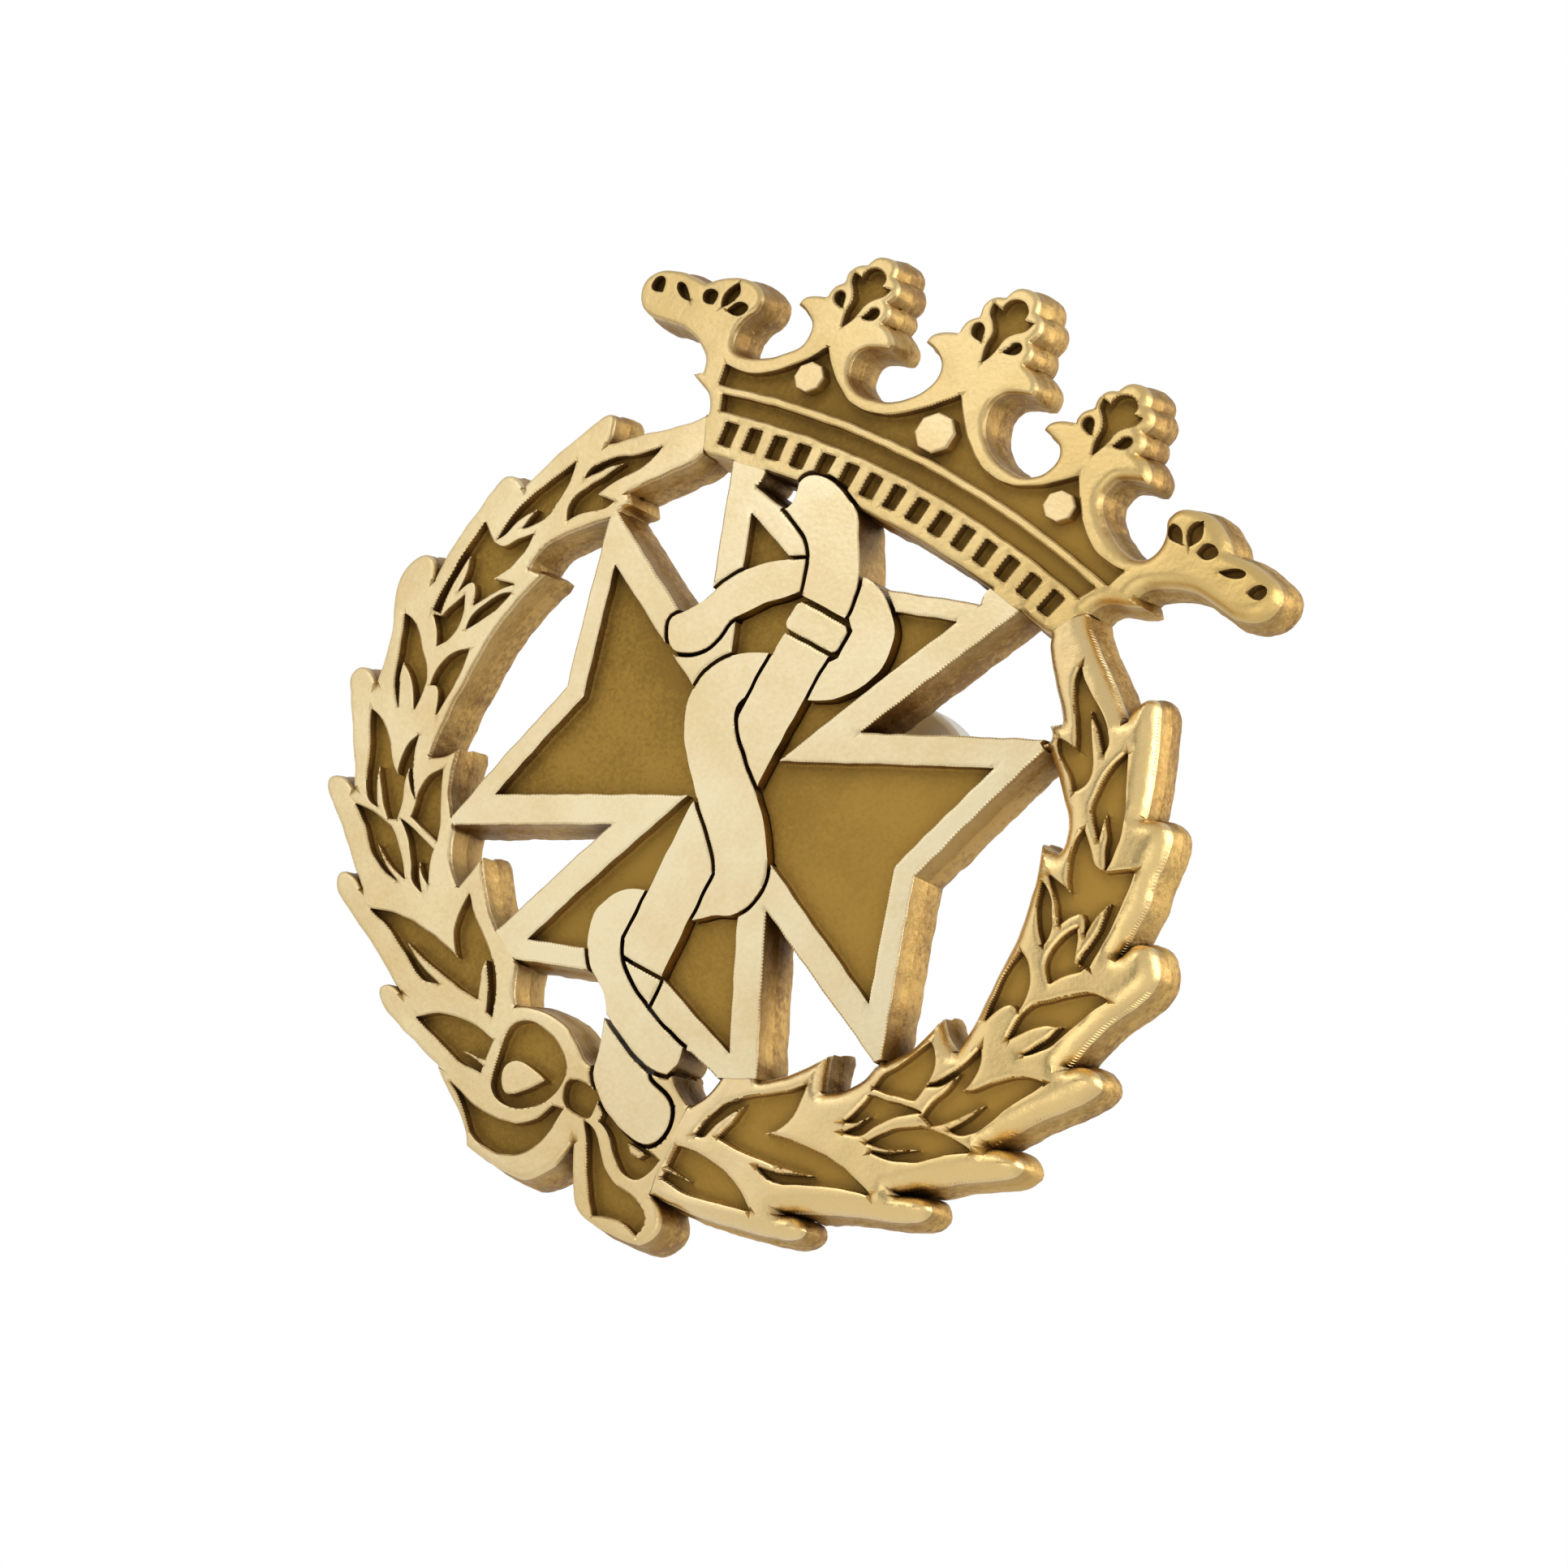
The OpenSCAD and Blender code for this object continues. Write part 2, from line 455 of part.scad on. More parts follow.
lower_coil_edge = [
  [-1.58, -7, 1], [-1.6, -9.6, 1], [-1.3, -10.35], [-0.6, -11.05], [0.4, -11.65], [1.5, -12.15],
  [2.7, -12.55],
  [4.1, -12.9, 1], [4.2, -13.7], [3.9, -14.5, 1], [2.9, -14.6], [1.6, -14.3], [0.4, -13.8],
  [-0.6, -13.3, 1],
  [-1.2, -12.5], [-2, -12], [-2.7, -11.5], [-3.3, -10.5], [-3.6, -9.3], [-3.2, -8.2], [-2.5, -7.4]
];
tail_edge = [
  [-0.6, -13.55, 1], [0.4, -14.05], [1.6, -14.55], [2.9, -14.9, 1], [3.2, -15.2], [4.1, -15.4],
  [4.8, -15.8],
  [5.1, -16.6], [4.95, -17.5], [4.3, -18.1], [3.2, -18.1], [1.9, -17.7], [0.9, -17.1], [0.1, -16.25],
  [-0.1, -15.2]
];

module grown_edge(p) {
  polygon(grown(p, groove_w));
}

// ---- front nodes --------------------------------------------------------------------

module plain_parts() {
  both_sides() wreath_drawing();
  coronet_outline();
  shape(bow_edge);
}

// A groove shows only in the raised borders, because the sunk field is already lower.
module groove() {
  layer(-past, pocket_d) difference() {
    children();
    cross_field();
  }
}

module cross() {
  color("wheat") difference() {
    layer(0, plate_t) difference() {
      cross_outline();
      plain_parts();
    }
    layer(-past, field_d) cross_field();
    layer(-past, pocket_d) staff_outline(seat_gap);
    groove() staff_outline(groove_w);
    layer(-past, lap_d) collar_outline(groove_w);
    for (p = [head_edge, upper_coil_edge, middle_coil_edge, lower_coil_edge]) {
      layer(-past, pocket_d) polygon(grown(p, seat_gap));
      groove() grown_edge(p);
    }
  }
}

module wreath() {
  difference() {
    layer(0, plate_t) wreath_drawing();
    layer(-past, field_d) for (p = wreath_pits) shape(p);
  }
}
module wreath_right() {
  color("wheat") wreath();
}
module wreath_left() {
  color("wheat") mirror([1, 0, 0]) wreath();
}

module coronet() {
  color("wheat") difference() {
    layer(0, plate_t) coronet_outline();
    layer(-past, field_d) coronet_pits();
    layer(-past, pocket_d) grown_edge(head_edge);
  }
}

mid_pearl = [0, 19.8];
side_pearl = [fleuron_x, 19.4];
module pearls() {
  color("wheat") layer(0, field_d) {
    translate(mid_pearl) circle(pearl_mid_r, $fn = round_fn);
    both_sides() translate(side_pearl) circle(pearl_side_r, $fn = round_fn);
  }
}

module ribbon_bow() {
  color("wheat") difference() {
    layer(0, plate_t) shape(bow_edge);
    layer(-past, field_d) bow_pit_drawing();
    layer(-past, pocket_d) grown_edge(lower_coil_edge);
    layer(-past, pocket_d) grown_edge(tail_edge);
  }
}

module staff() {
  color("wheat") difference() {
    layer(0, inlay_d) difference() {
      staff_outline(0);
      grown_edge(lower_coil_edge);
    }
    layer(-past, lap_d) grown_edge(middle_coil_edge);
    layer(-past, lap_d) collar_outline(groove_w);
    layer(-past, lap_d)
      translate([-staff_w, ferrule_z - groove_w / 2]) square([2 * staff_w, groove_w]);
  }
}

module staff_collar() {
  color("wheat") layer(0, lap_d - seat_gap) collar_outline(0);
}

// What lies behind an inlaid piece, cut from its back. The piece keeps its full
// thickness where it crosses open space.
module behind(depth) {
  layer(depth, plate_t + past) children();
}

module serpent_head() {
  color("wheat") difference() {
    layer(0, plate_t) shape(head_edge);
    behind(inlay_d) coronet_outline();
    behind(inlay_d) cross_outline();
    behind(lap_d - seat_gap) shape(upper_coil_edge);
  }
}
module serpent_upper_coil() {
  color("wheat") difference() {
    layer(0, plate_t) shape(upper_coil_edge);
    behind(inlay_d) cross_outline();
    layer(-past, lap_d) grown_edge(head_edge);
  }
}
module serpent_middle_coil() {
  color("wheat") difference() {
    layer(0, inlay_d) shape(middle_coil_edge);
    behind(lap_d - seat_gap) staff_outline(0);
  }
}
module serpent_lower_coil() {
  color("wheat") difference() {
    layer(0, plate_t) shape(lower_coil_edge);
    behind(inlay_d) cross_outline();
    behind(inlay_d) shape(bow_edge);
  }
}
module serpent_tail() {
  color("wheat") difference() {
    layer(0, plate_t) shape(tail_edge);
    behind(inlay_d) shape(bow_edge);
  }
}

// ---- posts and clutches -------------------------------------------------------------

foot_y = 3.95;
neck_r = 0.36;
neck_y = 9.3;
end_y = 9.9;
tip_len = 0.9;

// Solid of revolution about a line along +Y through (x, z); points are [radius, y].
module turned_about(x, z, points) {
  translate([x, 0, z]) rotate([-90, 0, 0]) rotate_extrude($fn = round_fn) polygon(points);
}

module post(x) {
  color("gold") intersection() {
    turned_about(x, post_z, [
      [0, 2.4], [foot_r, 2.4], [foot_r, foot_y], [post_r, foot_y],
      [post_r, neck_y], [neck_r, neck_y + 0.1], [neck_r, end_y - 0.1], [post_end_r, end_y],
      [post_end_r, post_tip_y - tip_len], [0, post_tip_y]
    ]);
    dome_ball(plate_t);
  }
}
module left_post() { post(-post_x); }
module right_post() { post(post_x); }

cup_back = clutch_y + clutch_t;
bore_r = post_r + post_clear;
lip_r = 3.6;
cup_inner_r = clutch_r - clutch_t;
cup_top = cup_back + cup_h;

// Stamped cup: a dished front disc with a bored boss, a wall and a rolled lip.
module clutch_cup(x) {
  color("silver") turned_about(x, post_z, [
    [bore_r, clutch_y - 0.45], [1.1, clutch_y - 0.45], [1.7, clutch_y], [clutch_r - 0.3, clutch_y],
    [clutch_r, clutch_y + 0.3], [clutch_r, cup_top], [clutch_r - 0.2, cup_top + 0.2],
    [lip_r, cup_top + 0.2],
    [lip_r, cup_top - 0.15], [cup_inner_r, cup_top - 0.15], [cup_inner_r, cup_back], [1.5, cup_back],
    [0.95, clutch_y - 0.1], [bore_r, clutch_y - 0.1]
  ]);
}
module left_clutch_cup() { clutch_cup(-post_x); }
module right_clutch_cup() { clutch_cup(post_x); }

jaw_y = cup_back + 0.75;
jaw_len = 2.4;
jaw_w = 2.8;
jaw_gap = 0.2;
wing_h = 4.6;
wing_lean = 12;
wing_t = 0.3;
// Rolled heel at the bend, which the wing rocks on.
heel_r = 0.24;

// Side view of a wing, [distance from the post, y]: a flat jaw, then a tab that leans out.
module wing_side() {
  tip = [jaw_len + wing_h * sin(wing_lean), jaw_y + wing_h * cos(wing_lean)];
  polygon([
    [jaw_gap / 2, jaw_y], [jaw_len, jaw_y], tip, tip - wing_t * polar(1, -wing_lean),
    [jaw_len + wing_t * (tan(wing_lean) - 1 / cos(wing_lean)), jaw_y + wing_t],
    [jaw_gap / 2, jaw_y + wing_t]
  ]);
}
// Back view of a wing, [y, z]: straight sides and a rounded finger grip.
module wing_face() {
  straight = wing_h * cos(wing_lean) - jaw_w / 2;
  translate([jaw_y - past, -jaw_w / 2]) square([straight + past, jaw_w]);
  translate([jaw_y + straight, 0]) circle(jaw_w / 2, $fn = round_fn);
}
// One wing, with its jaw notched round a post at the origin and its tab towards +X.
module wing() {
  color("silver") difference() {
    union() {
      intersection() {
        translate([0, 0, -jaw_w]) linear_extrude(2 * jaw_w) wing_side();
        rotate([90, 0, 90]) linear_extrude(2 * jaw_len) wing_face();
      }
      translate([jaw_len - heel_r, jaw_y + heel_r, -jaw_w / 2])
        cylinder(h = jaw_w, r = heel_r, $fn = round_fn);
    }
    rotate([-90, 0, 0]) cylinder(h = 2 * deep, r = bore_r, $fn = round_fn);
  }
}
module wing_right_of(x) {
  translate([x, 0, post_z]) wing();
}
module wing_left_of(x) {
  translate([x, 0, post_z]) mirror([1, 0, 0]) wing();
}
module left_wing_inner() { wing_right_of(-post_x); }
module left_wing_outer() { wing_left_of(-post_x); }
module right_wing_inner() { wing_left_of(post_x); }
module right_wing_outer() { wing_right_of(post_x); }

cross();
wreath_left();
wreath_right();
coronet();
pearls();
ribbon_bow();
staff();
staff_collar();
serpent_head();
serpent_upper_coil();
serpent_middle_coil();
serpent_lower_coil();
serpent_tail();
left_post();
right_post();
left_clutch_cup();
left_wing_inner();
left_wing_outer();
right_clutch_cup();
right_wing_inner();
right_wing_outer();
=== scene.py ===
"""Looks for the cap badge: relief meshes built from the CAD nodes, materials, light and camera."""
import math

import bpy
from mathutils import Matrix, Vector, noise
from mathutils.bvhtree import BVHTree
from mathutils.geometry import delaunay_2d_cdt
from mathutils.kdtree import KDTree


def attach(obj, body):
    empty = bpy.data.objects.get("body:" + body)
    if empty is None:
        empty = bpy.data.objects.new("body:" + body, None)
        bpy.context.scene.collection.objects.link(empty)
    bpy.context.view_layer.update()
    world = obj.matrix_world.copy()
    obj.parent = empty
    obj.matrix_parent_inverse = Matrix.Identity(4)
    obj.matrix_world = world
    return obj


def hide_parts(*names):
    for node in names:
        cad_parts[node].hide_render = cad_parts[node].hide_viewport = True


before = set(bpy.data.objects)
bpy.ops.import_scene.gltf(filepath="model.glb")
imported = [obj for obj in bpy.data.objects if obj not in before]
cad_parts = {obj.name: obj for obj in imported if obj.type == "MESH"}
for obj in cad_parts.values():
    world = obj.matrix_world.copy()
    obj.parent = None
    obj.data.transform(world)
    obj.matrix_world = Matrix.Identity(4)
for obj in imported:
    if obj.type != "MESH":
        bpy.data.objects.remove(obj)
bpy.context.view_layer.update()  # frame["bodies"], ["nodes"], ["joints"], ["record"]

MM = 0.001

# ---- the badge's own dimensions, in millimetres -------------------------------------
DOME_R = 110.0
PLATE_T = 3.2
PLATE_NODES = ["cross", "wreath_left", "wreath_right", "coronet", "ribbon_bow"]
FRONT_NODES = PLATE_NODES + [
    "staff", "staff_collar",
    "serpent_head", "serpent_upper_coil", "serpent_middle_coil", "serpent_lower_coil",
    "serpent_tail",
]
# Edge roundings, as (width, depth): at the outline on the left and on the right of the badge,
# where the casting was buffed more, and at a sunk field or groove.
RIM_LEFT = {"wreath_left": (0.2, 0.28), "wreath_right": (0.3, 0.5), "coronet": (0.26, 0.4),
            "ribbon_bow": (0.24, 0.34), "cross": (0.08, 0.1)}
RIM_RIGHT = {"wreath_right": (1.0, 1.1), "coronet": (0.75, 1.0)}
RIM_INLAY = (0.05, 0.06)
BUFFED_X = (2.0, 17.0)
STEP_ROUND = {"wreath_left": 0.1, "wreath_right": 0.28, "coronet": 0.11, "ribbon_bow": 0.12}
STEP_ROUND_CRISP = 0.05
FLOOR_EDGE = 0.04
FLOOR_FILLET = 0.16
FILLET_SHARE = 0.6
# A wall is cut clean for its first part, then steps out to rough casting: (share of the way
# back, mm outwards). Both the walls and the buffed front are uneven.
WALL_PROFILE = ((0.0, 0.0), (0.1, 0.02), (0.34, 0.06), (0.42, 0.17), (0.62, 0.24), (0.86, 0.26),
                (0.97, 0.2), (1.0, 0.12))
CUT_SHARE = 0.35
WALL_NOISE = 0.055
WALL_RATES = (1.3, 3.1)
# In a narrow notch a wall stands out by no more than a share of the way that is free in front
# of it. The way is measured in steps, up to a limit, until another wall is nearer than a share.
NOTCH_SHARE = 0.7
FREE_MOST = 0.6
FREE_STEP = 0.03
FREE_NEAR = 0.6
FRONT_WAVE = {"wreath_left": 0.04, "wreath_right": 0.07, "coronet": 0.06, "ribbon_bow": 0.04}
WAVE_RATE = 0.6
# Every drawn outline wanders a little: how far in mm, and how often per mm.
WOBBLE = 0.05
WOBBLE_RATE = 1.2
# The mesh has points along each outline, in rows beside it, and on a grid clear of it, all in mm.
EDGE_STEP = 0.17
RINGS = (0.04, 0.1, 0.19, 0.3)
RINGS_WIDE = (0.04, 0.1, 0.19, 0.3, 0.43, 0.56, 0.7, 0.85)
RING_CLEAR = 0.93  # share of its own distance that a row keeps from every other outline
CELL = 0.42
ROW_PITCH = 0.87
GRID_CLEAR = 0.36
# Reading the CAD mesh: the steepest wall's normal along y, the least step between two levels,
# the gap within which two outlines are one seam, and how densely outlines are sampled.
WALL_NORMAL_Y = 0.35
LEVEL_STEP = 0.05
SEAM_GAP = 0.05
SEAM_STEP = 0.06
SAMPLE_STEP = 0.05
BEFORE_ALL_Y, BEHIND_ALL_Y = -40, 60
FAR = 9.0


# ---- reading the CAD mesh -----------------------------------------------------------

def welded(obj):
    """The node's vertices in mm, welded, and its faces with those indices."""
    index, points, faces = {}, [], []
    where = []
    for v in obj.data.vertices:
        p = v.co / MM
        key = (round(p.x, 3), round(p.y, 3), round(p.z, 3))
        if key not in index:
            index[key] = len(points)
            points.append(Vector(key))
        where.append(index[key])
    for poly in obj.data.polygons:
        face = []
        for v in poly.vertices:
            if not face or where[v] != face[-1]:
                face.append(where[v])
        if len(set(face)) > 2:
            faces.append(face)
    return points, faces


def face_normal(points, face):
    n = Vector((0, 0, 0))
    for i in range(1, len(face) - 1):
        n += (points[face[i]] - points[face[0]]).cross(points[face[i + 1]] - points[face[0]])
    return n.normalized() if n.length > 1e-12 else n


def sort_pair(a, b):
    return min(a, b), max(a, b)


def outline_segments(points, faces, with_back):
    """The (x, z) segments along which a wall meets a front face, and a back face if asked."""
    wall_edges, level_edges = set(), set()
    for face in faces:
        n = face_normal(points, face)
        is_wall = abs(n.y) < WALL_NORMAL_Y
        if not is_wall and n.y > 0 and not with_back:
            continue
        for a, b in zip(face, face[1:] + face[:1]):
            key = sort_pair(a, b)
            (wall_edges if is_wall else level_edges).add(key)
    out = set()
    for a, b in wall_edges & level_edges:
        p = (round(points[a].x, 3), round(points[a].z, 3))
        q = (round(points[b].x, 3), round(points[b].z, 3))
        if p != q:
            out.add(sort_pair(p, q))
    return sorted(out)


def depth_under_dome(p):
    """How far the point lies behind the domed face, square to it."""
    return DOME_R - (Vector(p) - Vector((0, DOME_R, 0))).length


def on_dome(x, z, depth):
    r = DOME_R - depth
    return DOME_R - math.sqrt(r * r - x * x - z * z)


def sampled(segments, step):
    """Points along every segment, about step apart, with the segment each belongs to."""
    out = []
    for k, (a, b) in enumerate(segments):
        n = max(1, math.ceil(math.dist(a, b) / step))
        for i in range(n + 1):
            t = i / n
            out.append((a[0] + (b[0] - a[0]) * t, a[1] + (b[1] - a[1]) * t, k))
    return out


def tree_of(samples):
    tree = KDTree(max(1, len(samples)))
    for i, s in enumerate(samples):
        tree.insert((s[0], s[1], 0), i)
    tree.balance()
    return tree


read = {}
for name in FRONT_NODES:
    pts, fcs = welded(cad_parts[name])
    inlaid = name.startswith("serpent")
    read[name] = {
        "points": pts, "faces": fcs, "segments": outline_segments(pts, fcs, inlaid),
        "hits": BVHTree.FromPolygons(pts, fcs),
    }
seam_samples = []
for name in PLATE_NODES:
    for x, z, _ in sampled(read[name]["segments"], SEAM_STEP):
        seam_samples.append((x, z, name))
near_tree = tree_of(seam_samples)


def is_seam(name, p):
    """True where another node's outline runs along this one, so no edge shows there."""
    for _, i, _ in near_tree.find_range((p[0], p[1], 0), SEAM_GAP):
        if seam_samples[i][2] != name:
            return True
    return False


# ---- building a relief mesh ---------------------------------------------------------

FRONT, FLOOR, PIT_WALL, SIDE, BACK, CUT_SIDE = range(6)


def level_at(hits, x, z, from_front):
    """Depth under the dome of the first face met from the front or the back, None if open."""
    start = Vector((x, BEFORE_ALL_Y if from_front else BEHIND_ALL_Y, z))
    hit = hits.ray_cast(start, Vector((0, 1 if from_front else -1, 0)))
    return None if hit[0] is None else round(depth_under_dome(hit[0]), 1)


def quarter_round(d, width, depth=None):
    """Drop of a rounded edge at distance d inside it: round, or oval if a depth is given."""
    if width <= 0 or d >= width:
        return 0.0
    return (depth or width) * (1 - math.sqrt(max(0.0, 1 - (1 - d / width) ** 2)))


def wobble(x, z):
    """Unevenness of the drawn outlines at (x, z), the same for every piece."""
    p = Vector((x, z, 7.0)) * WOBBLE_RATE
    return WOBBLE * noise.noise(p), WOBBLE * noise.noise(p + Vector((31, 17, 5)))


def wall_push(share):
    """How far a wall stands out of the drawn outline, share of the way back."""
    for (s0, p0), (s1, p1) in zip(WALL_PROFILE, WALL_PROFILE[1:]):
        if share <= s1:
            return p0 + (p1 - p0) * (share - s0) / (s1 - s0)
    return WALL_PROFILE[-1][1]


def rim_at(name, x):
    """Width and depth of the outline's rounding at x."""
    left = RIM_LEFT.get(name, RIM_INLAY)
    right = RIM_RIGHT.get(name, left)
    t = min(1.0, max(0.0, (x - BUFFED_X[0]) / (BUFFED_X[1] - BUFFED_X[0])))
    t = t * t * (3 - 2 * t)
    return left[0] + (right[0] - left[0]) * t, left[1] + (right[1] - left[1]) * t


def plan_of(name):
    """Plan points (x, z) of a piece, and its drawing's edges as pairs of them."""
    segments, hits = read[name]["segments"], read[name]["hits"]
    coords, index, edges = [], {}, []

    def vid(x, z):
        key = (round(x, 3), round(z, 3))
        if key not in index:
            index[key] = len(coords)
            coords.append(Vector((x, z)))
        return index[key]

    for a, b in segments:
        n = max(1, round(math.dist(a, b) / EDGE_STEP))
        ids = [vid(a[0] + (b[0] - a[0]) * i / n, a[1] + (b[1] - a[1]) * i / n)
               for i in range(n + 1)]
        edges += [(p, q) for p, q in zip(ids, ids[1:]) if p != q]
    tree = tree_of(sampled(segments, SAMPLE_STEP))

    def clear(x, z):
        return tree.find((x, z, 0))[2]

    for a, b in segments:
        length = math.dist(a, b)
        nx, nz = -(b[1] - a[1]) / length, (b[0] - a[0]) / length
        n = max(1, round(length / EDGE_STEP))
        for ring in RINGS_WIDE if name in RIM_RIGHT else RINGS:
            for i in range(n):
                t = (i + 0.5) / n
                for side in (1, -1):
                    x = a[0] + (b[0] - a[0]) * t + nx * ring * side
                    z = a[1] + (b[1] - a[1]) * t + nz * ring * side
                    if clear(x, z) > ring * RING_CLEAR:
                        vid(x, z)
    xs = [p[0] for s in segments for p in s]
    zs = [p[1] for s in segments for p in s]
    row = 0
    z = min(zs)
    while z < max(zs):
        x = min(xs) + (CELL / 2 if row % 2 else 0)
        while x < max(xs):
            if clear(x, z) > GRID_CLEAR and level_at(hits, x, z, True) is not None:
                vid(x, z)
            x += CELL
        z += CELL * ROW_PITCH
        row += 1
    return coords, edges


def levels_of(v2, tris, by_edge, fixed, hits):
    """Each triangle's (front, back) level, None where the plate is open.

    Triangles joined across free edges are one region, at one level front and back.
    """
    region = [-1] * len(tris)
    levels = []
    for seed in range(len(tris)):
        if region[seed] >= 0:
            continue
        region[seed] = len(levels)
        stack, best = [seed], (-1.0, seed)
        while stack:
            t = stack.pop()
            a, b, c = (v2[i] for i in tris[t])
            area = abs((b - a).cross(c - a))
            best = max(best, (area, t))
            for p, q in zip(tris[t], tris[t][1:] + tris[t][:1]):
                key = sort_pair(p, q)
                if key in fixed:
                    continue
                for other in by_edge[key]:
                    if region[other] < 0:
                        region[other] = len(levels)
                        stack.append(other)
        mid = sum((v2[i] for i in tris[best[1]]), Vector((0, 0))) / 3
        front = level_at(hits, mid.x, mid.y, True)
        back = level_at(hits, mid.x, mid.y, False)
        ok = front is not None and back is not None and back - front > LEVEL_STEP
        levels.append((front, back) if ok and best[0] > 1e-6 else None)
    return [levels[r] for r in region]


def edge_trees(name, v2, tri_levels, by_edge, fixed):
    """Trees of points along the outline, and by level along the tops and feet of the steps."""
    rim_points, down_points, up_points = [], {}, {}
    for key in fixed:
        sides = [tri_levels[t] for t in by_edge.get(key, [])]
        sides += [None] * (2 - len(sides))
        mid = (v2[key[0]] + v2[key[1]]) / 2
        if (sides[0] is None) != (sides[1] is None):
            if not is_seam(name, mid):
                for end in (v2[key[0]], mid, v2[key[1]]):
                    rim_points.append((end.x, end.y, 0))
        elif sides[0] and sides[1] and abs(sides[0][0] - sides[1][0]) > LEVEL_STEP:
            high, low = sorted((sides[0][0], sides[1][0]))
            for end in (v2[key[0]], mid, v2[key[1]]):
                down_points.setdefault(high, []).append((end.x, end.y, 0))
                up_points.setdefault(low, []).append((end.x, end.y, 0))
    rim_tree = tree_of(rim_points) if rim_points else None
    down_trees = {level: tree_of(found) for level, found in down_points.items()}
    up_trees = {level: tree_of(found) for level, found in up_points.items()}
    return rim_tree, down_trees, up_trees


def outward_of(name, v2, tris, tri_levels, by_edge, fixed):
    """The outward direction at each outline point that isn't on a seam, for the plate pieces."""
    outward = {}
    if name not in PLATE_NODES:
        return outward
    for a, b in fixed:
        solid = [t for t in by_edge.get((a, b), []) if tri_levels[t] is not None]
        if len(solid) != 1 or is_seam(name, (v2[a] + v2[b]) / 2):
            continue
        third = [i for i in tris[solid[0]] if i not in (a, b)][0]
        along = (v2[b] - v2[a]).normalized()
        normal = Vector((along.y, -along.x))
        if normal.dot(v2[third] - v2[a]) > 0:
            normal.negate()
        for i in (a, b):
            outward[i] = outward.get(i, Vector((0, 0))) + normal
    return {i: n.normalized() if n.length > 0.3 else n for i, n in outward.items()}


def free_way(tree, at, way):
    """How far it is free, from a point of the outline that way, before another wall is near."""
    free = 0.0
    while free < FREE_MOST:
        ahead = at + way * (free + FREE_STEP)
        if tree.find((ahead.x, ahead.y, 0))[2] < FREE_NEAR * (free + FREE_STEP):
            break
        free += FREE_STEP
    return free


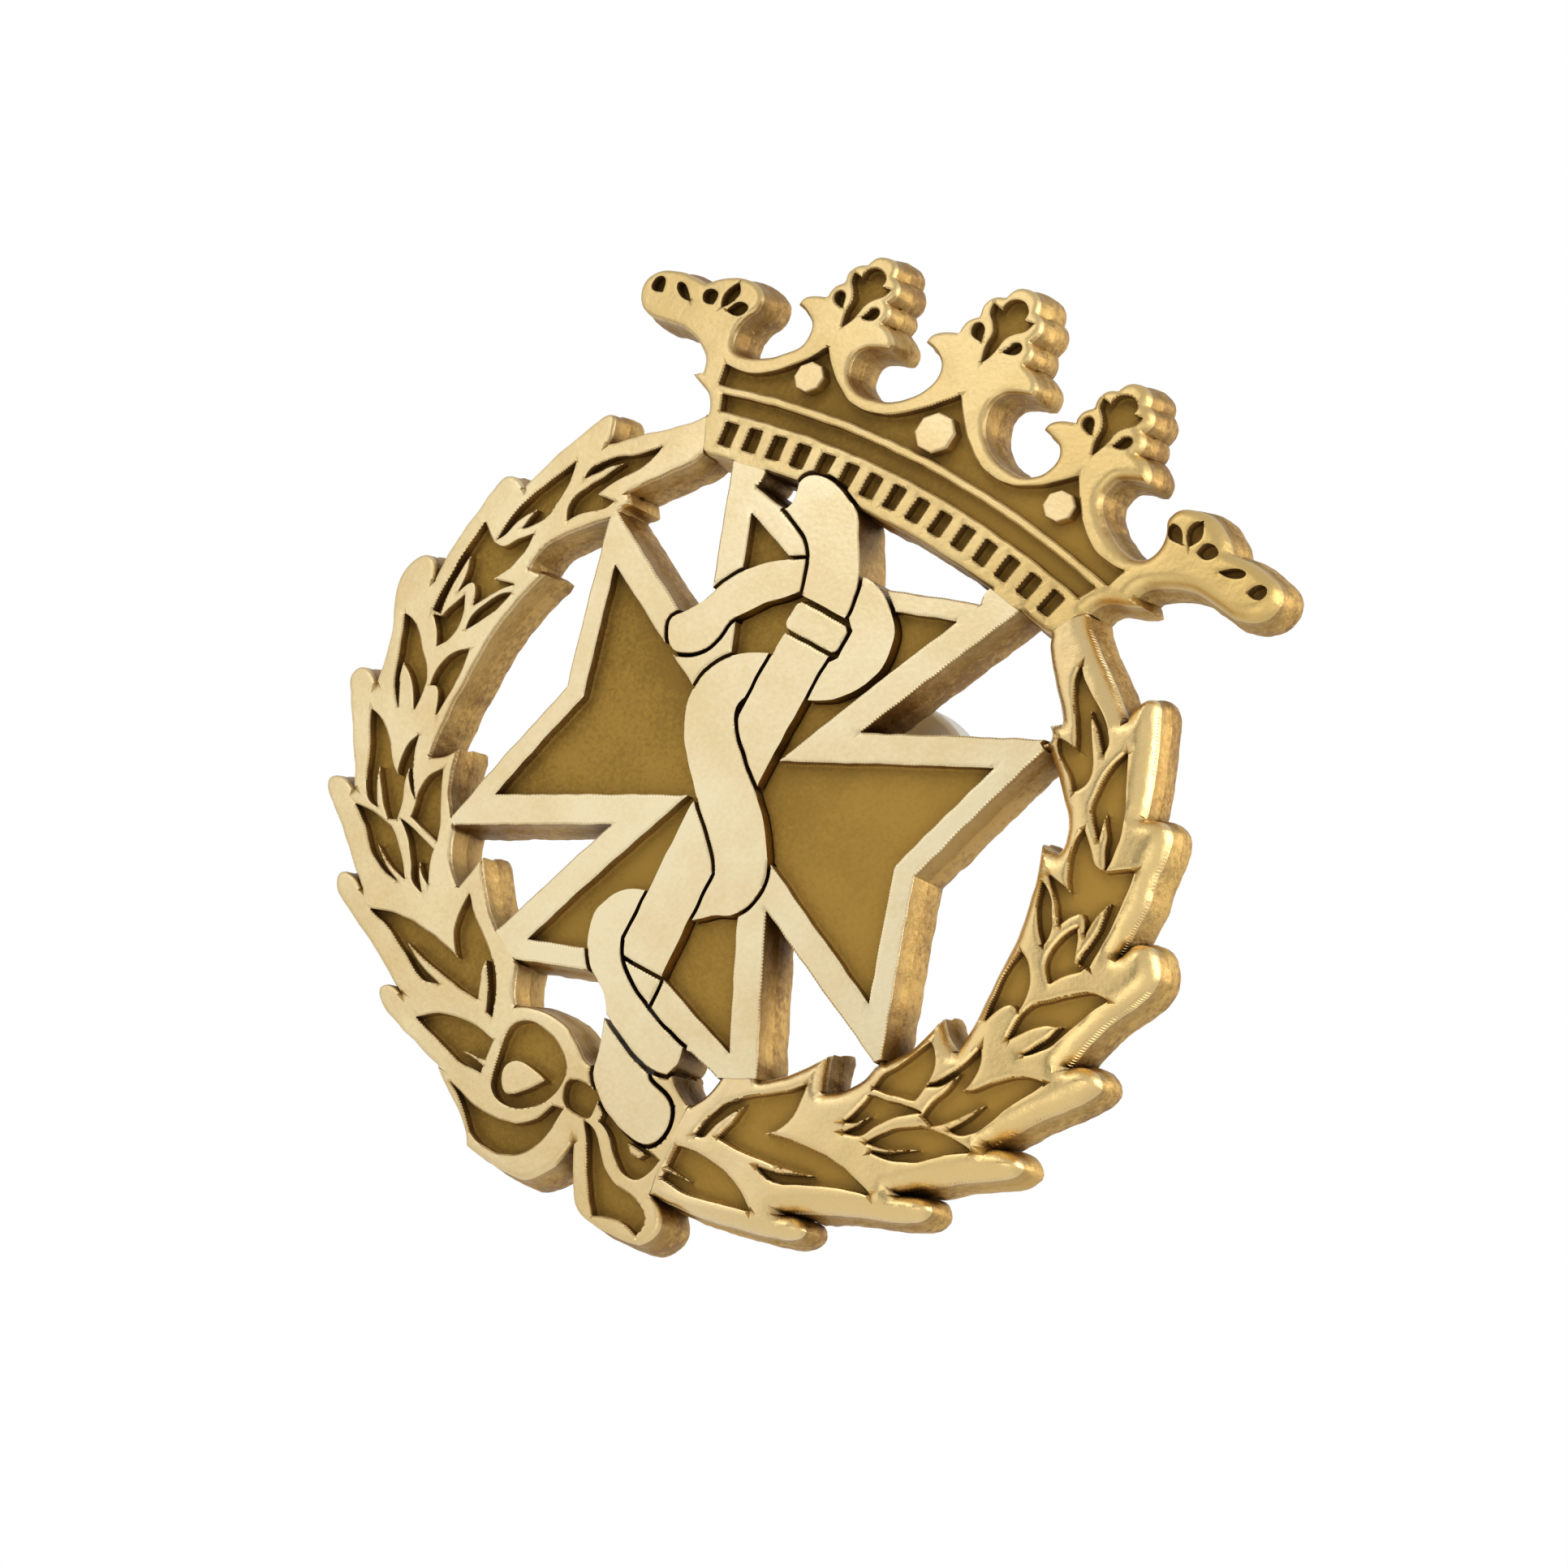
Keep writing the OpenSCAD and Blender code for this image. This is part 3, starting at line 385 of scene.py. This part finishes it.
def relief(name):
    """Front, floors, walls and back of one plate piece, with rounded edges, as one mesh."""
    coords, edges = plan_of(name)
    v2, e2, f2, _, orig_e, _ = delaunay_2d_cdt(coords, edges, [], 0, 1e-5)
    fixed = {sort_pair(*e) for e, o in zip(e2, orig_e) if o}
    tris = [tuple(f) for f in f2]
    by_edge = {}
    for t, f in enumerate(tris):
        for a, b in zip(f, f[1:] + f[:1]):
            by_edge.setdefault(sort_pair(a, b), []).append(t)
    tri_levels = levels_of(v2, tris, by_edge, fixed, read[name]["hits"])
    rim_tree, down_trees, up_trees = edge_trees(name, v2, tri_levels, by_edge, fixed)
    outward = outward_of(name, v2, tris, tri_levels, by_edge, fixed)
    free = {i: free_way(rim_tree, v2[i], way) for i, way in outward.items()}
    top = min(lv[0] for lv in tri_levels if lv)
    step_round = STEP_ROUND.get(name, STEP_ROUND_CRISP)
    wave = FRONT_WAVE.get(name, 0.0)

    def leaned(i, share, height):
        """A wall point, share of the way back, with the casting's draft and roughness."""
        x, y = v2[i].x, v2[i].y
        push = outward.get(i)
        if push is None:
            return x, y
        at = Vector((x, height, y))
        rough = noise.noise(at * WALL_RATES[0]) + 0.5 * noise.noise(at * WALL_RATES[1])
        amount = wall_push(share) + WALL_NOISE * rough * min(1.0, 0.2 + share * 1.6)
        amount = min(amount, NOTCH_SHARE * free[i])
        return x + push.x * amount, y + push.y * amount

    def front_y(x, y, level, floor):
        """Where the front lies at plan point (x, y), sunk beside its edges."""
        def away(tree):
            return tree.find((x, y, 0))[2] if tree else FAR

        d_down = away(down_trees.get(level))
        if floor:
            rise = FILLET_SHARE * quarter_round(away(up_trees.get(level)), FLOOR_FILLET)
            return on_dome(x, y, level - rise + quarter_round(d_down, FLOOR_EDGE))
        drop = max(quarter_round(away(rim_tree), *rim_at(name, x)),
                   quarter_round(d_down, step_round))
        drop += wave * (0.5 + noise.noise(Vector((x, y, 3.0)) * WAVE_RATE))
        return on_dome(x, y, level + drop)

    verts, faces, mats, made = [], [], [], {}

    def point(i, side, level, floor=False):
        """Index of plan point i on the front, the back, or a wall row at share side."""
        key = (i, side, level)
        if key not in made:
            x, y = v2[i].x, v2[i].y
            if side == "front":
                height = front_y(x, y, level, floor)
            elif side == "back":
                x, y = leaned(i, 1.0, PLATE_T)
                height = on_dome(x, y, level)
            else:
                # The rows share out the wall from the rounded edge to the back.
                edge = 0.0 if floor else rim_at(name, x)[1] + wave
                height = on_dome(x, y, level + edge + side * (PLATE_T - level - edge))
                x, y = leaned(i, side, height)
            made[key] = len(verts)
            dx, dy = wobble(v2[i].x, v2[i].y)
            verts.append(((x + dx) * MM, height * MM, (y + dy) * MM))
        return made[key]

    for f, lv in zip(tris, tri_levels):
        if lv is None:
            continue
        floor = lv[0] > top + LEVEL_STEP
        faces.append([point(i, "front", lv[0], floor) for i in f])
        mats.append(FLOOR if floor else FRONT)
        faces.append([point(i, "back", lv[1]) for i in reversed(f)])
        mats.append(BACK)
    for (a, b) in fixed:
        around = by_edge.get((a, b), [])
        for t in around:
            lv = tri_levels[t]
            if lv is None:
                continue
            others = [tri_levels[o] for o in around if o != t]
            other = others[0] if others else None
            f = tris[t]
            p, q = (a, b) if f[(f.index(a) + 1) % 3] == b else (b, a)
            if other is None:
                sunk = lv[0] > top + LEVEL_STEP
                rows = [("front", lv[0], sunk)]
                if p in outward and q in outward:
                    rows += [(share, lv[0], sunk) for share, _ in WALL_PROFILE[1:-1]]
                rows.append(("back", lv[1], sunk))
                for one, two in zip(rows, rows[1:]):
                    faces.append([point(q, *one), point(p, *one), point(p, *two), point(q, *two)])
                    cut = one[0] == "front" or (one[0] != "back" and one[0] < CUT_SHARE)
                    mats.append(CUT_SIDE if cut else SIDE)
                continue
            if lv[0] < other[0] - LEVEL_STEP:
                faces.append([point(q, "front", lv[0]), point(p, "front", lv[0]),
                              point(p, "front", other[0], True), point(q, "front", other[0], True)])
                mats.append(PIT_WALL)
            if lv[1] > other[1] + LEVEL_STEP:
                faces.append([point(p, "back", lv[1]), point(q, "back", lv[1]),
                              point(q, "back", other[1]), point(p, "back", other[1])])
                mats.append(BACK)
    mesh = bpy.data.meshes.new(name + "_relief")
    mesh.from_pydata(verts, [], faces)
    mesh.validate()
    mesh.update()
    return mesh, mats


# ---- materials ----------------------------------------------------------------------

def node_of(tree, kind, **values):
    node = tree.nodes.new(kind)
    for key, value in values.items():
        node.inputs[key].default_value = value
    return node


# Painted shade: the dark brown that ambient occlusion mixes into the inner corners.
CORNER_SHADE_TINT = (0.11, 0.055, 0.018, 1)
TURN_X = (-0.004, 0.02)  # where the colour starts and ends its turn to the right, in metres


def metal(name, pale, dark, metallic, rough, bump, grain=4500.0, corner_shade=0.0, reach=0.0009,
          wear=0.5, fleck=0.5, right=None, shine=0.5):
    """Procedural metal: two drifting tones with flecks, uneven gloss and a fine bump.

    Painted shade darkens the inner corners, by the corner shade amount, over a distance of
    reach. If right is given, the colour turns to it towards the right of the badge. Wear is how
    softly the two tones run into each other, and fleck how much of their pattern comes from the
    fine grain. Shine is the strength of the bare reflection.
    """
    mat = bpy.data.materials.new(name)
    mat.use_nodes = True
    tree = mat.node_tree
    link = tree.links.new
    shader = tree.nodes["Principled BSDF"]
    shader.inputs["Metallic"].default_value = metallic
    shader.inputs["Specular IOR Level"].default_value = shine
    place = tree.nodes.new("ShaderNodeTexCoord")
    broad = node_of(tree, "ShaderNodeTexNoise", Scale=140.0, Detail=5.0, Roughness=0.6)
    fine = node_of(tree, "ShaderNodeTexNoise", Scale=grain, Detail=6.0, Roughness=0.7)
    specks = node_of(tree, "ShaderNodeTexVoronoi", Scale=grain * 0.7)
    for texture in (broad, fine, specks):
        link(place.outputs["Object"], texture.inputs["Vector"])
    tone = tree.nodes.new("ShaderNodeValToRGB")
    tone.color_ramp.elements[0].position = 0.5 - 0.25 * wear
    tone.color_ramp.elements[1].position = 0.5 + 0.25 * wear
    tone.color_ramp.elements[0].color = (*dark, 1)
    tone.color_ramp.elements[1].color = (*pale, 1)
    flecked = tree.nodes.new("ShaderNodeMath")
    flecked.operation = "MULTIPLY_ADD"
    flecked.inputs[1].default_value = fleck
    link(fine.outputs["Fac"], flecked.inputs[0])
    link(broad.outputs["Fac"], flecked.inputs[2])
    centred = tree.nodes.new("ShaderNodeMath")
    centred.operation = "SUBTRACT"
    centred.inputs[1].default_value = fleck / 2
    link(flecked.outputs["Value"], centred.inputs[0])
    link(centred.outputs["Value"], tone.inputs["Fac"])
    colour = tone.outputs["Color"]
    if right:
        across = tree.nodes.new("ShaderNodeSeparateXYZ")
        link(place.outputs["Object"], across.inputs["Vector"])
        turn = node_of(tree, "ShaderNodeMapRange", **{"From Min": TURN_X[0], "From Max": TURN_X[1]})
        link(across.outputs["X"], turn.inputs["Value"])
        warmed = tree.nodes.new("ShaderNodeMix")
        warmed.data_type = "RGBA"
        warmed.inputs["B"].default_value = (*right, 1)
        link(turn.outputs["Result"], warmed.inputs["Factor"])
        link(colour, warmed.inputs["A"])
        colour = warmed.outputs["Result"]
    if corner_shade > 0:
        # Painted shade: ambient occlusion darkens the inner corners towards a dark brown.
        hollow = node_of(tree, "ShaderNodeAmbientOcclusion", Distance=reach)
        hollow.samples = 8
        shade_amount = tree.nodes.new("ShaderNodeMapRange")
        shade_amount.inputs["From Min"].default_value = 0.25
        shade_amount.inputs["From Max"].default_value = 0.85
        shade_amount.inputs["To Min"].default_value = corner_shade
        shade_amount.inputs["To Max"].default_value = 0.0
        link(hollow.outputs["AO"], shade_amount.inputs["Value"])
        mix = tree.nodes.new("ShaderNodeMix")
        mix.data_type = "RGBA"
        mix.inputs["B"].default_value = CORNER_SHADE_TINT
        link(shade_amount.outputs["Result"], mix.inputs["Factor"])
        link(colour, mix.inputs["A"])
        colour = mix.outputs["Result"]
    link(colour, shader.inputs["Base Color"])
    gloss = tree.nodes.new("ShaderNodeMapRange")
    gloss.inputs["To Min"].default_value = rough * 0.8
    gloss.inputs["To Max"].default_value = min(1.0, rough * 1.25)
    link(fine.outputs["Fac"], gloss.inputs["Value"])
    link(gloss.outputs["Result"], shader.inputs["Roughness"])
    relief_height = tree.nodes.new("ShaderNodeMath")
    relief_height.operation = "MULTIPLY_ADD"
    relief_height.inputs[1].default_value = 0.35
    link(specks.outputs["Distance"], relief_height.inputs[0])
    link(fine.outputs["Fac"], relief_height.inputs[2])
    bumps = node_of(tree, "ShaderNodeBump", Strength=bump, Distance=0.00008)
    link(relief_height.outputs["Value"], bumps.inputs["Height"])
    link(bumps.outputs["Normal"], shader.inputs["Normal"])
    return mat


# Each metal's corner shade amount sets the painted shade in its inner corners.
gilt = metal("gilt_front", (0.91, 0.78, 0.5), (0.83, 0.66, 0.37), 1.0, 0.34, 0.22, corner_shade=0.5)
cast_gilt = metal("gilt_cast", (0.93, 0.77, 0.46), (0.8, 0.6, 0.29), 1.0, 0.36, 0.4, corner_shade=0.5,
                  wear=0.7, right=(0.84, 0.6, 0.26))
coronet_gilt = metal("gilt_coronet", (0.86, 0.67, 0.34), (0.72, 0.52, 0.22), 1.0, 0.36, 0.4,
                     corner_shade=0.6, wear=0.7, right=(0.78, 0.54, 0.19))
polished = metal("gilt_buffed", (0.95, 0.8, 0.53), (0.8, 0.6, 0.31), 1.0, 0.27, 0.25, corner_shade=0.8,
                 wear=0.7, right=(0.87, 0.63, 0.27))
ochre = metal("ochre_floor", (0.45, 0.27, 0.05), (0.31, 0.18, 0.03), 0.35, 0.62, 0.7, corner_shade=0.45,
              reach=0.0007, fleck=0.9, right=(0.53, 0.315, 0.06), shine=0.2)
pit_side = metal("pit_wall", (0.38, 0.225, 0.055), (0.2, 0.1, 0.025), 0.6, 0.5, 0.7, corner_shade=0.6,
                 fleck=0.9, shine=0.2)
rough_side = metal("rough_wall", (0.65, 0.41, 0.12), (0.32, 0.17, 0.045), 0.75, 0.45, 1.0,
                   grain=2600.0, corner_shade=0.75, reach=0.0026, fleck=1.0)
cut_side = metal("cut_wall", (0.6, 0.39, 0.13), (0.4, 0.235, 0.07), 1.0, 0.38, 0.6, grain=3200.0,
                 corner_shade=0.65, reach=0.0022, fleck=0.8)
rough_back = metal("rough_back", (0.6, 0.44, 0.22), (0.45, 0.3, 0.13), 0.9, 0.5, 0.6)
post_brass = metal("post_brass", (0.8, 0.62, 0.32), (0.66, 0.46, 0.2), 1.0, 0.3, 0.2, corner_shade=0.4)
clutch_plate = metal("clutch_plate", (0.96, 0.93, 0.86), (0.9, 0.85, 0.74), 0.7, 0.34, 0.15)
OTHERS = [ochre, pit_side, rough_side, rough_back, cut_side]
FRONT_OF = {"wreath_right": polished, "wreath_left": cast_gilt, "coronet": coronet_gilt,
            "ribbon_bow": cast_gilt}


def smooth_by_angle(mesh, degrees):
    mesh.shade_smooth()
    mesh.set_sharp_from_angle(angle=math.radians(degrees))


def stand_for(mesh, name, body, materials):
    obj = bpy.data.objects.new(name + "_looks", mesh)
    bpy.context.scene.collection.objects.link(obj)
    for mat in materials:
        mesh.materials.append(mat)
    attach(obj, body)
    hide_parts(name)
    return obj


for name in FRONT_NODES:
    mesh, mats = relief(name)
    obj = stand_for(mesh, name, "badge", [FRONT_OF.get(name, gilt), *OTHERS])
    if len(mats) != len(mesh.polygons):
        print("relief of", name, "lost faces:", len(mats), len(mesh.polygons))
    mesh.polygons.foreach_set("material_index", mats[:len(mesh.polygons)])
    smooth_by_angle(mesh, 32)
    print(name, len(mesh.polygons), "faces")


# ---- pearls -------------------------------------------------------------------------

PEARL_SIDES = 8
PEARLS = [(0.0, 19.8, 1.08), (-7.9, 19.4, 0.83), (7.9, 19.4, 0.83)]


def pearls_mesh():
    """Low studs filed to eight sides: a flat table, a broken edge and an upright foot each."""
    verts, faces = [], []
    for cx, cz, r in PEARLS:
        rings = [(0.9, 0.0), (0.97, 0.03), (1.03, 0.12), (1.04, 0.3), (1.04, 0.8)]
        base = len(verts)
        for scale, depth in rings:
            for k in range(PEARL_SIDES):
                a = 2 * math.pi * (k + 0.5) / PEARL_SIDES
                x, z = cx + r * scale * math.cos(a), cz + r * scale * math.sin(a)
                verts.append((x * MM, on_dome(x, z, depth) * MM, z * MM))
        n = PEARL_SIDES
        faces.append([base + k for k in range(n)])
        for row in range(len(rings) - 1):
            for k in range(n):
                a, b = base + row * n + k, base + row * n + (k + 1) % n
                faces.append([b, a, a + n, b + n])
        faces.append([base + (len(rings) - 1) * n + k for k in reversed(range(n))])
    mesh = bpy.data.meshes.new("pearls_relief")
    mesh.from_pydata(verts, [], faces)
    mesh.update()
    return mesh


pearls = pearls_mesh()
stand_for(pearls, "pearls", "badge", [cast_gilt])
smooth_by_angle(pearls, 20)


# ---- posts and clutches: the CAD shapes with their edges broken ---------------------

def softened(name, body, material, width):
    """The CAD node's own shape, welded, with its sharp edges rounded by width mm."""
    pts, fcs = welded(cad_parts[name])
    mesh = bpy.data.meshes.new(name + "_soft")
    mesh.from_pydata([tuple(p * MM) for p in pts], [], fcs)
    mesh.validate()
    mesh.update()
    obj = stand_for(mesh, name, body, [material])
    bevel = obj.modifiers.new("edges", "BEVEL")
    bevel.width = width * MM
    bevel.segments = 2
    bevel.limit_method = "ANGLE"
    bevel.angle_limit = math.radians(35)
    bpy.context.view_layer.update()
    made = bpy.data.meshes.new_from_object(obj.evaluated_get(bpy.context.evaluated_depsgraph_get()))
    obj.modifiers.clear()
    obj.data = made
    smooth_by_angle(made, 35)
    return obj


for side in ("left", "right"):
    softened(side + "_post", "badge", post_brass, 0.03)
    softened(side + "_clutch_cup", side + "_clutch", clutch_plate, 0.05)
    for which in ("inner", "outer"):
        softened(f"{side}_wing_{which}", f"{side}_{which}_wing", clutch_plate, 0.05)


# ---- stage, light and camera --------------------------------------------------------

FLOOR_Z = -0.075
FLOOR_R = 0.1
bpy.ops.mesh.primitive_circle_add(vertices=96, radius=FLOOR_R, fill_type="NGON",
                                  location=(0, 0, FLOOR_Z))
floor = bpy.context.object
floor.name = "stage_floor"
paper = bpy.data.materials.new("pale_paper")
paper.use_nodes = True
paper.node_tree.nodes["Principled BSDF"].inputs["Base Color"].default_value = (0.86, 0.86, 0.85, 1)
paper.node_tree.nodes["Principled BSDF"].inputs["Roughness"].default_value = 0.9
floor.data.materials.append(paper)

# White paper behind the badge, bright walls on the left and far right, and dark between them,
# where the photographer stands. Each zone is (direction, cosine at its edge, at its full
# strength, strength there), laid over the one before.
ROOM = 0.66
ZONES = [
    ((-0.62, -0.78, 0.02), 0.68, 0.97, 1.0),
    ((0.97, -0.24, 0.0), 0.6, 0.9, 0.8),
    ((0.42, -0.9, 0.05), 0.93, 0.98, 0.05),
]
world = bpy.data.worlds.new("studio")
world.use_nodes = True
sky = world.node_tree
towards = sky.nodes.new("ShaderNodeTexCoord").outputs["Generated"]
strength = None
for direction, edge, full, level in ZONES:
    facing = sky.nodes.new("ShaderNodeVectorMath")
    facing.operation = "DOT_PRODUCT"
    facing.inputs[1].default_value = Vector(direction).normalized()
    sky.links.new(towards, facing.inputs[0])
    share = sky.nodes.new("ShaderNodeMapRange")
    share.interpolation_type = "SMOOTHSTEP"
    share.inputs["From Min"].default_value = edge
    share.inputs["From Max"].default_value = full
    sky.links.new(facing.outputs["Value"], share.inputs["Value"])
    blend = sky.nodes.new("ShaderNodeMix")
    blend.inputs["A"].default_value = ROOM
    blend.inputs["B"].default_value = level
    sky.links.new(share.outputs["Result"], blend.inputs["Factor"])
    if strength:
        sky.links.new(strength, blend.inputs["A"])
    strength = blend.outputs["Result"]
seen = sky.nodes.new("ShaderNodeLightPath")
paper_white = sky.nodes.new("ShaderNodeMix")
paper_white.inputs["B"].default_value = 1.0
sky.links.new(seen.outputs["Is Camera Ray"], paper_white.inputs["Factor"])
sky.links.new(strength, paper_white.inputs["A"])
sky.nodes["Background"].inputs["Color"].default_value = (1, 1, 1, 1)
sky.links.new(paper_white.outputs["Result"], sky.nodes["Background"].inputs["Strength"])
bpy.context.scene.world = world
bpy.context.scene.view_settings.view_transform = "Standard"


def softbox(name, place, size, watts, aim=(0, 0, 0.002)):
    light = bpy.data.lights.new(name, "AREA")
    light.shape = "RECTANGLE"
    light.size, light.size_y = size
    light.energy = watts
    obj = bpy.data.objects.new(name, light)
    obj.location = place
    obj.rotation_euler = (Vector(aim) - Vector(place)).to_track_quat("-Z", "Y").to_euler()
    bpy.context.scene.collection.objects.link(obj)
    return obj


softbox("key", (-0.25, -0.4, 0.35), (0.3, 0.3), 0.35)
softbox("fill", (0.35, -0.3, -0.1), (0.3, 0.4), 0.3)
softbox("rim", (0.3, 0.25, 0.25), (0.2, 0.3), 0.7)

CAMERA_AT = Vector((0.18409, -0.34696, 0.01245))
CAMERA_RIGHT = Vector((0.77746, 0.42194, 0.4664))
CAMERA_UP = Vector((-0.42552, -0.19318, 0.88409))
CAMERA_BACK = Vector((0.46313, -0.8858, 0.02935))
lens = bpy.data.cameras.new("photo_view")
lens.lens = 182.2
lens.sensor_width = 36
lens.clip_start, lens.clip_end = 0.01, 20
camera = bpy.data.objects.new("photo_view", lens)
camera.matrix_world = Matrix((
    (CAMERA_RIGHT.x, CAMERA_UP.x, CAMERA_BACK.x, CAMERA_AT.x),
    (CAMERA_RIGHT.y, CAMERA_UP.y, CAMERA_BACK.y, CAMERA_AT.y),
    (CAMERA_RIGHT.z, CAMERA_UP.z, CAMERA_BACK.z, CAMERA_AT.z),
    (0, 0, 0, 1),
))
bpy.context.scene.collection.objects.link(camera)
bpy.context.scene.camera = camera
